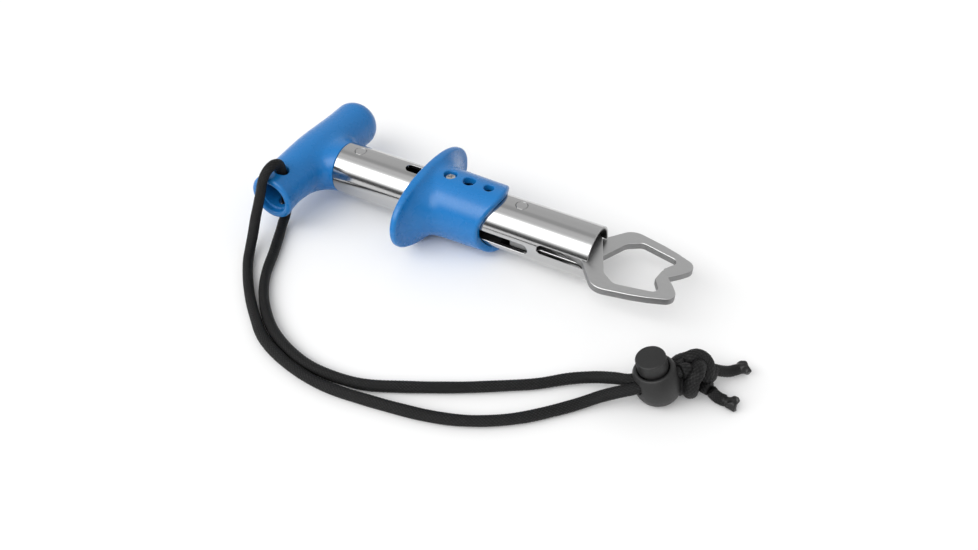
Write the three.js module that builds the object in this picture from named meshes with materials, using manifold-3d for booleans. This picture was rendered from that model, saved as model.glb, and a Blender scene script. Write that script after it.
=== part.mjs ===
// A fishing lip grip: pulling the finger collar back along the tube opens two scissor jaws.
// Millimetres, +Z up. Stations along the tube are measured from its rear rim, with the tube's
// axis as X and the jaws at +X. The finished group stands on z = 0, centred in x and y.
import * as THREE from 'three';
import { mergeVertices } from 'three/addons/utils/BufferGeometryUtils.js';
import Module from 'manifold-3d';

const wasm = await Module();
wasm.setup();

// Driving dimensions
const GAP = 0.3; // between neighbouring pieces
const TUBE_LENGTH = 117.3;
const TUBE_R = 11.1;
const TUBE_BORE_R = 9.8;
const BAR_X = -14.8; // axis of the T-bar
const BAR_Z = 1;
const BAR_R = 10.2;
const BAR_END_R = 9.8;
const BAR_HALF_LENGTH = 35; // the open end is at -y, the domed end at +y
const CORD_D = 4;
const CORD_HOLE_X = -13.4;
const CORD_HOLE_Y = -26.5;
const PIVOT_X = 84.2;
const PIN_R = 2.4;
const JAW_THICKNESS = 3;
const JAW_SWING = THREE.MathUtils.degToRad(15);
const COLLAR_TRAVEL = 12;
const COLLAR_REAR = 40.2;
const COLLAR_FRONT = 74.7;
const FLANGE_HALF_HEIGHT = 16.4;
const DRIVE_PIN_OFFSET = 8; // behind the pivot at rest
const DRIVE_PIN_R = 1.6;
const JAW_NOSE = 153; // furthest station of the jaws

const AXIS_HEIGHT = FLANGE_HALF_HEIGHT;
const MIDDLE = (BAR_X - BAR_R + JAW_NOSE) / 2; // halfway along, without the lanyard

const steel = new THREE.MeshStandardMaterial({ color: 0xc9cacb, roughness: 0.25, metalness: 1 });
const jawSteel = new THREE.MeshStandardMaterial({ color: 0xa9a9a8, roughness: 0.45, metalness: 1 });
const blue = new THREE.MeshStandardMaterial({ color: 0x2a7fd0, roughness: 0.45, metalness: 0 });
const acetal = new THREE.MeshStandardMaterial({ color: 0x0c0c0d, roughness: 0.6, metalness: 0 });
const rubber = new THREE.MeshStandardMaterial({ color: 0x2b2b2c, roughness: 0.5, metalness: 0 });
const braid = new THREE.MeshStandardMaterial({ color: 0x111112, roughness: 0.8, metalness: 0 });

// Solids

function solid(geometry) {
  const plain = geometry.clone();
  plain.deleteAttribute('normal');
  plain.deleteAttribute('uv');
  const merged = mergeVertices(plain, 1e-4);
  return new wasm.Manifold(new wasm.Mesh({
    numProp: 3,
    vertProperties: new Float32Array(merged.attributes.position.array),
    triVerts: new Uint32Array(merged.index.array),
  }));
}

function geometryOf(manifold) {
  const result = manifold.getMesh();
  const geometry = new THREE.BufferGeometry();
  geometry.setAttribute('position', new THREE.BufferAttribute(result.vertProperties, 3));
  geometry.setIndex(new THREE.BufferAttribute(result.triVerts, 1));
  geometry.computeVertexNormals();
  return geometry;
}

function piece(name, shape, material) {
  const geometry = shape instanceof THREE.BufferGeometry ? shape : geometryOf(shape);
  const mesh = new THREE.Mesh(geometry, material);
  mesh.name = name;
  return mesh;
}

// A cylinder along X, Y or Z between two stations, through (u, v) on the other two axes in order.
function rod(axis, radius, from, to, u = 0, v = 0, segments = 32) {
  const geometry = new THREE.CylinderGeometry(radius, radius, to - from, segments);
  geometry.translate(0, (from + to) / 2, 0);
  if (axis === 'x') geometry.rotateZ(-Math.PI / 2).translate(0, u, v);
  if (axis === 'y') geometry.translate(u, 0, v);
  if (axis === 'z') geometry.rotateX(Math.PI / 2).translate(u, v, 0);
  return solid(geometry);
}

function prism(points, bottom, top) {
  const depth = top - bottom;
  const geometry = new THREE.ExtrudeGeometry(new THREE.Shape(points), { depth, bevelEnabled: false });
  return solid(geometry.translate(0, 0, bottom));
}

// Superellipse sections [station, half width, half height, exponent], in order along X, joined.
function loftedOnX(sections, segments = 40) {
  const positions = [];
  const index = [];
  const ring = (i, k) => i * segments + (k % segments);
  for (const [x, halfWidth, halfHeight, exponent = 2] of sections) {
    for (let k = 0; k < segments; k++) {
      const angle = (2 * Math.PI * k) / segments;
      const power = 2 / exponent;
      const y = halfWidth * Math.sign(Math.cos(angle)) * Math.abs(Math.cos(angle)) ** power;
      const z = halfHeight * Math.sign(Math.sin(angle)) * Math.abs(Math.sin(angle)) ** power;
      positions.push(x, y, z);
    }
  }
  for (let i = 0; i + 1 < sections.length; i++) {
    for (let k = 0; k < segments; k++) {
      index.push(ring(i, k), ring(i, k + 1), ring(i + 1, k));
      index.push(ring(i, k + 1), ring(i + 1, k + 1), ring(i + 1, k));
    }
  }
  const last = sections.length - 1;
  for (let k = 1; k + 1 < segments; k++) {
    index.push(ring(0, 0), ring(0, k + 1), ring(0, k));
    index.push(ring(last, 0), ring(last, k), ring(last, k + 1));
  }
  const geometry = new THREE.BufferGeometry();
  geometry.setAttribute('position', new THREE.Float32BufferAttribute(positions, 3));
  geometry.setIndex(index);
  return solid(geometry);
}

// Outlines

// A polygon whose corners [x, y, radius] are rounded.
function roundedOutline(corners, step = 0.2) {
  const outline = [];
  corners.forEach(([x, y, radius], i) => {
    const corner = new THREE.Vector2(x, y);
    const before = new THREE.Vector2(...corners.at(i - 1)).sub(corner).normalize();
    const after = new THREE.Vector2(...corners[(i + 1) % corners.length]).sub(corner).normalize();
    const half = Math.acos(THREE.MathUtils.clamp(before.dot(after), -1, 1)) / 2;
    const middle = before.clone().add(after).normalize();
    const centre = corner.clone().addScaledVector(middle, radius / Math.sin(half));
    const first = corner.clone().addScaledVector(before, radius / Math.tan(half)).sub(centre);
    const turn = Math.PI - 2 * half;
    const sense = Math.sign(before.cross(after)) * -1;
    const steps = Math.max(1, Math.ceil(turn / step));
    for (let k = 0; k <= steps; k++) {
      const spoke = first.clone().rotateAround(new THREE.Vector2(), (sense * turn * k) / steps);
      outline.push(centre.clone().add(spoke));
    }
  });
  return outline;
}

// The outline of a band of one width along a line of points, with round ends.
function bandOutline(points, halfWidth, capSteps = 10) {
  const left = [];
  const right = [];
  points.forEach((point, i) => {
    const ahead = points[Math.min(i + 1, points.length - 1)];
    const behind = points[Math.max(i - 1, 0)];
    const along = ahead.clone().sub(behind).normalize();
    const across = new THREE.Vector2(-along.y, along.x).multiplyScalar(halfWidth);
    left.push(point.clone().add(across));
    right.unshift(point.clone().sub(across));
  });
  const cap = (centre, from) => Array.from({ length: capSteps - 1 }, (_, k) => {
    const spoke = from.clone().sub(centre);
    return spoke.rotateAround(new THREE.Vector2(), (-Math.PI * (k + 1)) / capSteps).add(centre);
  });
  const endCap = cap(points.at(-1), left.at(-1));
  const startCap = cap(points[0], right.at(-1));
  return [...left, ...endCap, ...right, ...startCap];
}

function stadium(from, to, width) {
  const half = width / 2;
  return bandOutline([new THREE.Vector2(from + half, 0), new THREE.Vector2(to - half, 0)], half);
}

// A tube along a route of points.
function cordGeometry(route, steps, sides = 8) {
  const section = new THREE.Shape();
  section.absarc(0, 0, CORD_D / 2, 0, 2 * Math.PI);
  const outline = new THREE.Shape(section.getSpacedPoints(sides).slice(0, sides));
  const path = new THREE.CatmullRomCurve3(route.map((point) => new THREE.Vector3(...point)));
  return new THREE.ExtrudeGeometry(outline, { steps, extrudePath: path, bevelEnabled: false });
}

// A coil spring along +Z from the origin.
function springGeometry({ meanRadius, wireRadius, length, turns, stepsPerTurn = 12, sides = 5 }) {
  const pitchLength = length - 2 * wireRadius;
  const points = [];
  for (let k = 0; k <= turns * stepsPerTurn; k++) {
    const angle = (2 * Math.PI * k) / stepsPerTurn;
    const height = wireRadius + (pitchLength * k) / (turns * stepsPerTurn);
    points.push(new THREE.Vector3(meanRadius * Math.cos(angle), meanRadius * Math.sin(angle), height));
  }
  const section = new THREE.Shape();
  section.absarc(0, 0, wireRadius, 0, 2 * Math.PI);
  const outline = new THREE.Shape(section.getSpacedPoints(sides).slice(0, sides));
  const extrudePath = new THREE.CatmullRomCurve3(points);
  return new THREE.ExtrudeGeometry(outline, { steps: points.length - 1, extrudePath, bevelEnabled: false });
}

// Handle: a T-bar with an open near end, a neck that flares into the tube, and a spigot inside the tube

const HANDLE_PIN_X = 7.8;
const SPIGOT_END = 14;
const NECK_SWEEP_R = 14; // of the neck's concave sides

function handle() {
  const domeDepth = 7.5;
  const rimR = 1.4;
  const boreR = 6.9;
  const boreStep = { depth: 3, radius: 6.2 };
  const boreBottom = -17;
  const profile = [];
  for (let k = 0; k <= 5; k++) {
    const angle = (Math.PI / 2) * (k / 5);
    profile.push([BAR_END_R * Math.sin(angle), BAR_HALF_LENGTH - domeDepth * (1 - Math.cos(angle))]);
  }
  profile.push([BAR_R, 8], [BAR_R, -8]);
  for (let k = 0; k <= 3; k++) {
    const angle = (Math.PI / 2) * (k / 3);
    profile.push([BAR_END_R - rimR * (1 - Math.cos(angle)), rimR * (1 - Math.sin(angle)) - BAR_HALF_LENGTH]);
  }
  profile.push([boreR, -BAR_HALF_LENGTH], [boreR, boreStep.depth - BAR_HALF_LENGTH]);
  profile.push([boreStep.radius, boreStep.depth - BAR_HALF_LENGTH], [boreStep.radius, boreBottom]);
  profile.push([0, boreBottom]);
  const points = profile.reverse().map(([radius, y]) => new THREE.Vector2(radius, y));
  const bar = solid(new THREE.LatheGeometry(points, 32).translate(BAR_X, 0, BAR_Z));

  const sections = [];
  for (let k = 0; k <= 6; k++) {
    const x = -NECK_SWEEP_R * Math.sin((Math.PI / 2) * (k / 6) * 0.96) - GAP;
    const halfWidth = TUBE_R + NECK_SWEEP_R - Math.sqrt(NECK_SWEEP_R ** 2 - (x + GAP) ** 2);
    const halfHeight = THREE.MathUtils.lerp(TUBE_R, BAR_R - 0.4, -x / NECK_SWEEP_R);
    sections.push([x, halfWidth, halfHeight]);
  }
  const bore = rod('y', boreR + 0.4, -BAR_HALF_LENGTH - 1, boreBottom, BAR_X, BAR_Z, 32);
  const neck = loftedOnX(sections.reverse(), 32).subtract(bore);
  const spigot = rod('x', TUBE_BORE_R - GAP, -6, SPIGOT_END, 0, 0, 32);
  const upperHole = rod('z', CORD_D / 2 + 1, 0, 20, CORD_HOLE_X, CORD_HOLE_Y, 16);
  const lowerHole = rod('z', CORD_D / 2 + 1.3, -20, 0, CORD_HOLE_X + 0.4, CORD_HOLE_Y - 0.5, 16);
  const pinHole = rod('z', PIN_R + GAP, -20, 20, HANDLE_PIN_X, 0, 20);
  return bar.add(neck).add(spigot).subtract(upperHole).subtract(lowerHole).subtract(pinHole);
}

// Tube: slots on top and below for the collar's screws, and two windows on each side for the jaws

const GUIDE_SLOT = { from: 30.9, to: 73, width: 4.7 };
const REAR_WINDOW = { from: 62, to: 92.5, width: 4.8, offset: 1.2 };
const FRONT_WINDOW = { from: 96.7, to: TUBE_LENGTH + 10, width: JAW_THICKNESS + 3 * GAP, offset: (JAW_THICKNESS + GAP) / 2 };

function tube() {
  let body = rod('x', TUBE_R, 0, TUBE_LENGTH, 0, 0, 48).subtract(rod('x', TUBE_BORE_R, -1, TUBE_LENGTH + 1, 0, 0, 48));
  const guideSlot = stadium(GUIDE_SLOT.from, GUIDE_SLOT.to, GUIDE_SLOT.width);
  body = body.subtract(prism(guideSlot, -20, 20));
  for (const side of [-1, 1]) {
    for (const [{ from, to, width, offset }, height] of [[REAR_WINDOW, side], [FRONT_WINDOW, -side]]) {
      const window = prism(stadium(from, to, width), 2, 20);
      const turned = window.rotate([side < 0 ? 90 : -90, 0, 0]);
      body = body.subtract(turned.translate([0, 0, offset * height]));
    }
  }
  for (const x of [HANDLE_PIN_X, PIVOT_X]) {
    body = body.subtract(rod('z', PIN_R + GAP, -20, 20, x, 0, 20));
  }
  return body;
}

// A pin across the tube whose ends are flush with the tube's outside.
function crossPin(x) {
  return rod('z', PIN_R, -20, 20, x, 0, 20).intersect(rod('x', TUBE_R, 0, TUBE_LENGTH, 0, 0, 48));
}

// Collar: a sleeve that slides on the tube, with an oval finger flange

const FLANGE_HALF_WIDTH = 30;
const SCREW_X = 51.8;
const SCREW_HEAD = { radius: 2.25, top: 13.6, height: 1.4 };
const SCREW_R = 1.5;
const COLLAR_HOLES = [{ x: 60.1, radius: 2.6 }, { x: 69.3, radius: 2.1 }];
const SCALLOP_R = 23.8; // of the curve that cuts the sleeve's front back at its sides

function collar() {
  const sections = [
    [COLLAR_REAR, FLANGE_HALF_WIDTH - 1, FLANGE_HALF_HEIGHT - 1, 2.2],
    [COLLAR_REAR + 0.9, FLANGE_HALF_WIDTH, FLANGE_HALF_HEIGHT, 2.2],
    [COLLAR_REAR + 2.2, FLANGE_HALF_WIDTH, FLANGE_HALF_HEIGHT, 2.2],
    [COLLAR_REAR + 3, FLANGE_HALF_WIDTH - 1, FLANGE_HALF_HEIGHT - 0.8, 2.2],
    [COLLAR_REAR + 4, 23.5, 15.2, 2.1],
    [COLLAR_REAR + 5.5, 19.2, 14.8, 2],
    [COLLAR_REAR + 8, 16.3, 14.5, 2],
    [COLLAR_REAR + 11, 14.8, 14.4, 2],
    [COLLAR_REAR + 14, 14.3, 14.3, 2],
    [COLLAR_FRONT - 1, 13.8, 13.8, 2],
    [COLLAR_FRONT, 12.9, 12.9, 2],
  ];
  const scallopX = COLLAR_FRONT - 2.5 + SCALLOP_R;
  let body = loftedOnX(sections)
    .subtract(rod('x', TUBE_R + GAP, COLLAR_REAR - 1, COLLAR_FRONT + 1, 0, 0, 48))
    .subtract(rod('y', SCALLOP_R, -20, 20, scallopX, 0, 72));
  for (const side of [-1, 1]) {
    body = body
      .subtract(rod('z', SCREW_R + GAP, ...ordered(0, 20 * side), SCREW_X, 0, 20))
      .subtract(rod('z', 2.8, ...ordered((SCREW_HEAD.top - SCREW_HEAD.height - GAP) * side, 20 * side), SCREW_X, 0, 20));
  }
  for (const { x, radius } of COLLAR_HOLES) {
    body = body.subtract(rod('z', radius, 0, 20, x, 0, 20));
  }
  return body;
}

function ordered(a, b) {
  return [Math.min(a, b), Math.max(a, b)];
}

// A pan-head screw through the collar into the slider, with a cross recess; side is 1 on top.
function collarScrew(side) {
  const { radius, top, height } = SCREW_HEAD;
  const shankEnd = 6.5;
  const recess = (turn) => solid(new THREE.BoxGeometry(0.6, 2.4, 1.6).rotateZ(turn).translate(SCREW_X, 0, top));
  const screw = rod('z', radius, top - height, top, SCREW_X, 0, 20)
    .add(rod('z', SCREW_R, shankEnd, top - height + 0.1, SCREW_X, 0, 16))
    .subtract(recess(0))
    .subtract(recess(Math.PI / 2));
  return side > 0 ? screw : screw.rotate([180, 0, 0]);
}

// Slider: runs inside the tube, keyed in the guide slots, with a fork round the jaws' tails

const SLIDER = {
  rear: 43.2,
  forkStart: 59,
  front: PIVOT_X - 4.8,
  radius: TUBE_BORE_R - 0.35,
  forkHalfGap: JAW_THICKNESS + 1.5 * GAP,
};
const SLIDER_KEY = { from: GUIDE_SLOT.from + COLLAR_TRAVEL, to: 56, width: GUIDE_SLOT.width - 0.6 };
const DRIVE_PIN_X = PIVOT_X - DRIVE_PIN_OFFSET;

function slider() {
  const { rear, forkStart, front, radius, forkHalfGap } = SLIDER;
  const key = prism(stadium(SLIDER_KEY.from, SLIDER_KEY.to, SLIDER_KEY.width), -TUBE_R, TUBE_R);
  const keyCore = rod('x', TUBE_R - 0.1, rear, front, 0, 0, 48);
  const fork = solid(new THREE.BoxGeometry(front - forkStart + 1, 30, 2 * forkHalfGap)
    .translate((forkStart + front + 1) / 2, 0, 0));
  return rod('x', radius, rear, front, 0, 0, 48)
    .add(key.intersect(keyCore))
    .subtract(fork)
    .subtract(rod('z', SCREW_R + GAP, 6.2, 20, SCREW_X, 0, 20))
    .subtract(rod('z', SCREW_R + GAP, -20, -6.2, SCREW_X, 0, 20))
    .subtract(rod('z', DRIVE_PIN_R + GAP, -20, 20, DRIVE_PIN_X, 0, 20));
}

// Jaws: two flat plates, one above the axis and one below, mirror images of each other

// Where the drive pin is in a jaw's own frame, once the collar has moved by travel.
function camPoint(travel) {
  const angle = (JAW_SWING * travel) / COLLAR_TRAVEL;
  const reach = DRIVE_PIN_OFFSET + travel;
  return new THREE.Vector2(-reach * Math.cos(angle), reach * Math.sin(angle));
}

function camLine(overrun) {
  const steps = 12;
  return Array.from({ length: steps + 1 }, (_, k) => camPoint(-overrun + ((COLLAR_TRAVEL + 2 * overrun) * k) / steps));
}

// Corners [x, y, radius] of a jaw ahead of its pivot, which is at the origin; it opens towards +y.
const JAW_CORNERS = [
  [-0.5, -9, 0.8], // shoulder beside the pivot
  [31.6, -8.6, 4], // leaves the tube
  [41.1, 12, 5],
  [46.6, 15.7, 3],
  [63.2, 12.1, 2.2], // inside the nose
  [59, 5.5, 0.8],
  [59.8, -1.3, 0.5], // tip, past the middle
  [66.3, 6, 1.2],
  [71, 12.5, 4], // nose
  [57.5, 17.8, 40],
  [40.2, 21.6, 7],
  [31.1, 9.9, 3],
  [15, 5.2, 4],
  [-0.5, 5.2, 0.8],
];

const JAW_LEAN = 0.65; // degrees that the closed pair leans towards -y

// side is -1 for the jaw that opens towards -y; level is 1 for the upper plate.
function jaw(side, level) {
  const wall = 1.7;
  const bottom = GAP / 2;
  const top = bottom + JAW_THICKNESS;
  const place = (shape, low = bottom, high = top) => {
    const points = shape.map(({ x, y }) => new THREE.Vector2(x, side * y));
    return prism(points, ...ordered(level * low, level * high));
  };
  const camSlot = bandOutline(camLine(0.3), DRIVE_PIN_R + GAP);
  return place(roundedOutline(JAW_CORNERS))
    .add(place(bandOutline(camLine(0), DRIVE_PIN_R + GAP + wall)))
    .add(rod('z', 6, ...ordered(level * bottom, level * top), 0, 0, 32))
    .subtract(rod('z', PIN_R + GAP, -10, 10, 0, 0, 20))
    .subtract(place(camSlot, -10, 10))
    .rotate([0, 0, -JAW_LEAN])
    .translate([PIVOT_X, 0, 0]);
}

function pivotSpacer(level) {
  const inner = GAP / 2 + JAW_THICKNESS + GAP;
  const outer = 8;
  return rod('z', 4.4, ...ordered(level * inner, level * outer), PIVOT_X, 0, 20)
    .subtract(rod('z', PIN_R + GAP, -20, 20, PIVOT_X, 0, 20));
}

// Return spring between the handle's spigot and the slider

const SEAT = { from: SPIGOT_END + GAP, to: SPIGOT_END + GAP + 1.6 };

function springSeat() {
  return rod('x', 9, SEAT.from, SEAT.to, 0, 0, 32).subtract(rod('x', 3, 0, 30, 0, 0, 20));
}

function returnSpring() {
  const from = SEAT.to + GAP;
  const length = SLIDER.rear - GAP - from;
  const geometry = springGeometry({ meanRadius: 5.6, wireRadius: 0.65, length, turns: 6 });
  return geometry.rotateY(Math.PI / 2).translate(from, 0, 0);
}

// Lanyard: both strands run from inside the handle to the knot, side by side on the ground,
// and through the cord lock. Routes are in the tube's frame; the ground is at GROUND.

const GROUND = -AXIS_HEIGHT;
const LYING = GROUND + CORD_D / 2 + 0.12;

const OUTER_STRAND = [
  [-13.4, -26.5, 0.4], [-13.4, -26.5, 5], [-13.4, -26.7, 10.2], [-13.2, -28, 13.8], [-13.2, -30.9, 15.3],
  [-13.6, -34.4, 14.4], [-14.3, -37.2, 11.2], [-15, -38.9, 6], [-16.1, -40.4, 0.4], [-16.8, -42.6, -5.2],
  [-15.8, -46.6, -10.2], [-12.8, -53, -13.4], [-8.4, -59.8, LYING], [2.6, -72.2, LYING], [13.5, -82, LYING],
  [23.3, -89.2, LYING], [34.4, -93.8, LYING], [44.9, -96.3, LYING], [54, -97.3, LYING], [63.1, -96.9, LYING],
  [72.4, -95.6, LYING], [84.2, -93.6, LYING], [95.5, -91.1, LYING], [105.9, -87.5, LYING],
  [114.9, -82.7, LYING], [123.5, -76.4, LYING], [131.7, -68.4, LYING], [138.6, -61.2, -13.8],
  [144.2, -56.4, -11.8], [149.3, -53.7, -9.4], [154.3, -50.9, -7.5], [160.1, -45.9, -5], [166.2, -40.6, -2.4],
];

const INNER_STRAND = [
  [-13.4, -26.5, -0.4], [-13.4, -26.5, -4.4], [-13.5, -26.8, -8.6], [-13.4, -28.6, -12], [-12.5, -32, -13.6],
  [-9.7, -37.7, LYING], [-4.1, -48.8, LYING], [1.2, -60, LYING], [7.2, -69.1, LYING], [15.4, -77.8, LYING],
  [24.8, -84.8, LYING], [35, -89.4, LYING], [44, -91.8, LYING], [52, -92.4, LYING], [60, -91.8, LYING],
  [68.7, -90, LYING], [81.4, -84.1, LYING], [98.7, -74.7, LYING], [112.1, -66.3, LYING], [121.5, -60, LYING],
  [131, -52.6, -13.6], [138.8, -49.5, -11.6], [145.6, -48.7, -9.1], [151.5, -47.5, -7.8],
  [157.3, -42.5, -5.3], [163.4, -37.2, -2.7],
];

const LOCK_CENTRE = [159.1, -44, -6.6];
const LOCK_UP = [-0.279, -0.154, 0.948];
const LOCK_ALONG = [0.77, 0.64, 0];
const BUTTON_TRAVEL = 2;
const STRAND_PITCH = 4.4; // between the strands' middles in the lock
const STRAND_HEIGHT = 1.5; // of the strands above the lock's middle

const KNOT_CENTRE = [169.6, -34, -7.9];
const TAIL_ROUTES = {
  upper_cord_tail: [[175.1, -27.3, -9.4], [177.3, -24.7, -11.5], [179.6, -22.1, -13], [181.8, -19.5, -13.3]],
  lower_cord_tail: [[176.6, -34.9, -11.9], [178.4, -34.9, -13.5], [180.4, -34.9, LYING], [182.3, -34.9, LYING]],
};

function lockGroup() {
  const group = new THREE.Group();
  const up = new THREE.Vector3(...LOCK_UP).normalize();
  const along = new THREE.Vector3(...LOCK_ALONG);
  along.addScaledVector(up, -along.dot(up)).normalize();
  group.quaternion.setFromRotationMatrix(new THREE.Matrix4().makeBasis(along, up.clone().cross(along), up));
  group.position.set(...LOCK_CENTRE);

  const clear = CORD_D / 2 + 0.4;
  const passage = (low, high) => {
    const side = STRAND_PITCH / 2 + clear;
    const corner = clear * 0.9;
    const hole = [[-high, -side, corner], [-low, -side, corner], [-low, side, corner], [-high, side, corner]];
    return prism(roundedOutline(hole), -20, 20).rotate([0, 90, 0]);
  };
  const outer = [[0, -8.3], [4.6, -8.3], [6.8, -7], [8, -4.2], [8.5, -0.8], [8.3, 2], [7.6, 4.2], [6.8, 5.6], [6.2, 6], [0, 6]];
  const barrel = solid(new THREE.LatheGeometry(outer.map(([r, z]) => new THREE.Vector2(r, z)), 28).rotateX(Math.PI / 2));
  const cavity = { radius: 5.7, bottom: -6.7 };
  const strandsLow = STRAND_HEIGHT - clear;
  const strandsHigh = STRAND_HEIGHT + clear;
  const body = barrel
    .subtract(rod('z', cavity.radius, cavity.bottom, 10, 0, 0, 28))
    .subtract(passage(strandsLow, strandsHigh));
  const webBottom = strandsLow - 1.4;
  const button = rod('z', 5.3, webBottom, 11.5, 0, 0, 28).subtract(passage(strandsLow, strandsHigh + BUTTON_TRAVEL));
  const length = webBottom - GAP - (cavity.bottom + GAP);
  const spring = springGeometry({ meanRadius: 3.9, wireRadius: 0.3, length, turns: 2 });
  group.add(piece('cord_lock_body', body, rubber));
  group.add(piece('cord_lock_button', button, rubber));
  group.add(piece('cord_lock_spring', spring.translate(0, 0, cavity.bottom + GAP), steel));
  return group;
}

function knot() {
  const shape = new THREE.SphereGeometry(1, 16, 10).scale(5.6, 7.4, 8.2);
  return shape.rotateZ(0.8).translate(...KNOT_CENTRE);
}

// The free end of a cord, melted into a short flared plug.
function meltedTip(route) {
  const end = new THREE.Vector3(...route.at(-1));
  const along = end.clone().sub(new THREE.Vector3(...route.at(-2))).setZ(0).normalize();
  const profile = [[0, 0], [1.9, 0], [2, 1.5], [2, 3.6], [1.4, 4.4], [0, 4.6]];
  const points = profile.map(([r, z]) => new THREE.Vector2(r, z));
  const geometry = new THREE.LatheGeometry(points, 16);
  geometry.applyQuaternion(new THREE.Quaternion().setFromUnitVectors(new THREE.Vector3(0, 1, 0), along));
  return geometry.translate(...end.addScaledVector(along, GAP));
}

// Assembly

const gripper = new THREE.Group();
gripper.add(
  piece('handle', handle(), blue),
  piece('tube', tube(), steel),
  piece('handle_pin', crossPin(HANDLE_PIN_X), steel),
  piece('spring_seat', springSeat(), steel),
  piece('return_spring', returnSpring(), steel),
  piece('collar', collar(), blue),
  piece('upper_collar_screw', collarScrew(1), steel),
  piece('lower_collar_screw', collarScrew(-1), steel),
  piece('slider', slider(), acetal),
  piece('drive_pin', rod('z', DRIVE_PIN_R, -8.6, 8.6, DRIVE_PIN_X, 0, 20), steel),
  piece('pivot_pin', crossPin(PIVOT_X), steel),
  piece('upper_pivot_spacer', pivotSpacer(1), steel),
  piece('lower_pivot_spacer', pivotSpacer(-1), steel),
  piece('upper_jaw', jaw(-1, 1), jawSteel),
  piece('lower_jaw', jaw(1, -1), jawSteel),
  piece('outer_lanyard_strand', cordGeometry(OUTER_STRAND, 46), braid),
  piece('inner_lanyard_strand', cordGeometry(INNER_STRAND, 40), braid),
  piece('lanyard_knot', knot(), braid),
);
gripper.add(lockGroup());
for (const [name, route] of Object.entries(TAIL_ROUTES)) {
  gripper.add(piece(name, cordGeometry(route, 5), braid));
  gripper.add(piece(name.replace('tail', 'tip'), meltedTip(route), braid));
}
gripper.position.set(-MIDDLE, 0, AXIS_HEIGHT);

const lipGrip = new THREE.Group();
lipGrip.add(gripper);

export default lipGrip;
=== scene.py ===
"""Looks of the lip grip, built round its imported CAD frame."""

import math

import bmesh
import bpy
import numpy as np
from mathutils import Matrix, Vector
from mathutils.geometry import tessellate_polygon


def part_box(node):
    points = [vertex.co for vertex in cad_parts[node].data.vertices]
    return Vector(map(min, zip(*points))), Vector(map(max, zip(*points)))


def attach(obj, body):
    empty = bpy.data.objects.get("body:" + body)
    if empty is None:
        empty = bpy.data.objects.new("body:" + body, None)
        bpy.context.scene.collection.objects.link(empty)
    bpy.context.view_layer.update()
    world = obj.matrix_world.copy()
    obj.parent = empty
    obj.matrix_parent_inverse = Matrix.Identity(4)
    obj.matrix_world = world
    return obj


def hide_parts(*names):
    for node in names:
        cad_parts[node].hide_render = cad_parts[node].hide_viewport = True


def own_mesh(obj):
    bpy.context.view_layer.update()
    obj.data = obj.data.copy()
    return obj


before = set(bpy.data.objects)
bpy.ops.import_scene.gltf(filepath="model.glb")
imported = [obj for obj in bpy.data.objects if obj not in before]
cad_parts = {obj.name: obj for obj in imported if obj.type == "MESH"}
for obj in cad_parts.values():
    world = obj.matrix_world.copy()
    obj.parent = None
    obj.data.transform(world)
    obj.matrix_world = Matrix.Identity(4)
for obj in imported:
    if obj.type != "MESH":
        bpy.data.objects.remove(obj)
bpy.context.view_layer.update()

# Shapes are made in millimetres in the tube's frame: X along the tube from its rear rim, the jaws
# at +X, and the tube's axis at y = z = 0.
MM = 0.001
tube_low, tube_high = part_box("tube")
ORIGIN = np.array([tube_low.x, 0.0, (tube_low.z + tube_high.z) / 2])
GROUND = -ORIGIN[2] / MM


def placed(points):
    """Points of the tube's frame, in metres in the row frame."""
    return np.asarray(points, float) * MM + ORIGIN


# Camera

CAMERA_AT = (0.137589, -0.253237, 0.238761)
CAMERA_TURN = math.radians(27.3968)
CAMERA_DIP = math.radians(41.7102)
CAMERA_ROLL = math.radians(1.3901)
SENSOR = 36.0
LENS = 32.616


def make_camera():
    right = Vector((math.cos(CAMERA_TURN), math.sin(CAMERA_TURN), 0))
    forward = Vector((
        -math.sin(CAMERA_TURN) * math.cos(CAMERA_DIP),
        math.cos(CAMERA_TURN) * math.cos(CAMERA_DIP),
        -math.sin(CAMERA_DIP),
    ))
    up = right.cross(forward)
    rolled_right = right * math.cos(CAMERA_ROLL) + up * math.sin(CAMERA_ROLL)
    rolled_up = up * math.cos(CAMERA_ROLL) - right * math.sin(CAMERA_ROLL)
    data = bpy.data.cameras.new("camera")
    data.sensor_width = SENSOR
    data.lens = LENS
    data.clip_start = 0.01
    data.clip_end = 20
    camera = bpy.data.objects.new("camera", data)
    bpy.context.scene.collection.objects.link(camera)
    rotation = Matrix((rolled_right, rolled_up, -forward)).transposed()
    camera.matrix_world = Matrix.Translation(CAMERA_AT) @ rotation.to_4x4()
    bpy.context.scene.camera = camera


make_camera()

# Materials


def new_material(name, colour, roughness, metallic=0.0, **sockets):
    """A material with a Principled shader, and that shader. sockets are its other plain values."""
    made = bpy.data.materials.new(name)
    made.use_nodes = True
    made.diffuse_color = (*colour, 1)
    shader = made.node_tree.nodes["Principled BSDF"]
    shader.inputs["Base Color"].default_value = (*colour, 1)
    shader.inputs["Roughness"].default_value = roughness
    shader.inputs["Metallic"].default_value = metallic
    for socket, value in sockets.items():
        shader.inputs[socket.replace("_", " ")].default_value = value
    return made, shader


def add_node(owner, kind, inputs=(), **settings):
    """A node of a node tree. inputs are (socket, value or another node's output)."""
    tree = owner.node_tree
    made = tree.nodes.new(kind)
    for setting, value in settings.items():
        setattr(made, setting, value)
    for socket, value in inputs:
        if isinstance(value, bpy.types.NodeSocket):
            tree.links.new(value, made.inputs[socket])
        else:
            made.inputs[socket].default_value = value
    return made


def math_node(owner, operation, *values):
    return add_node(owner, "ShaderNodeMath", enumerate(values), operation=operation).outputs[0]


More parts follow.
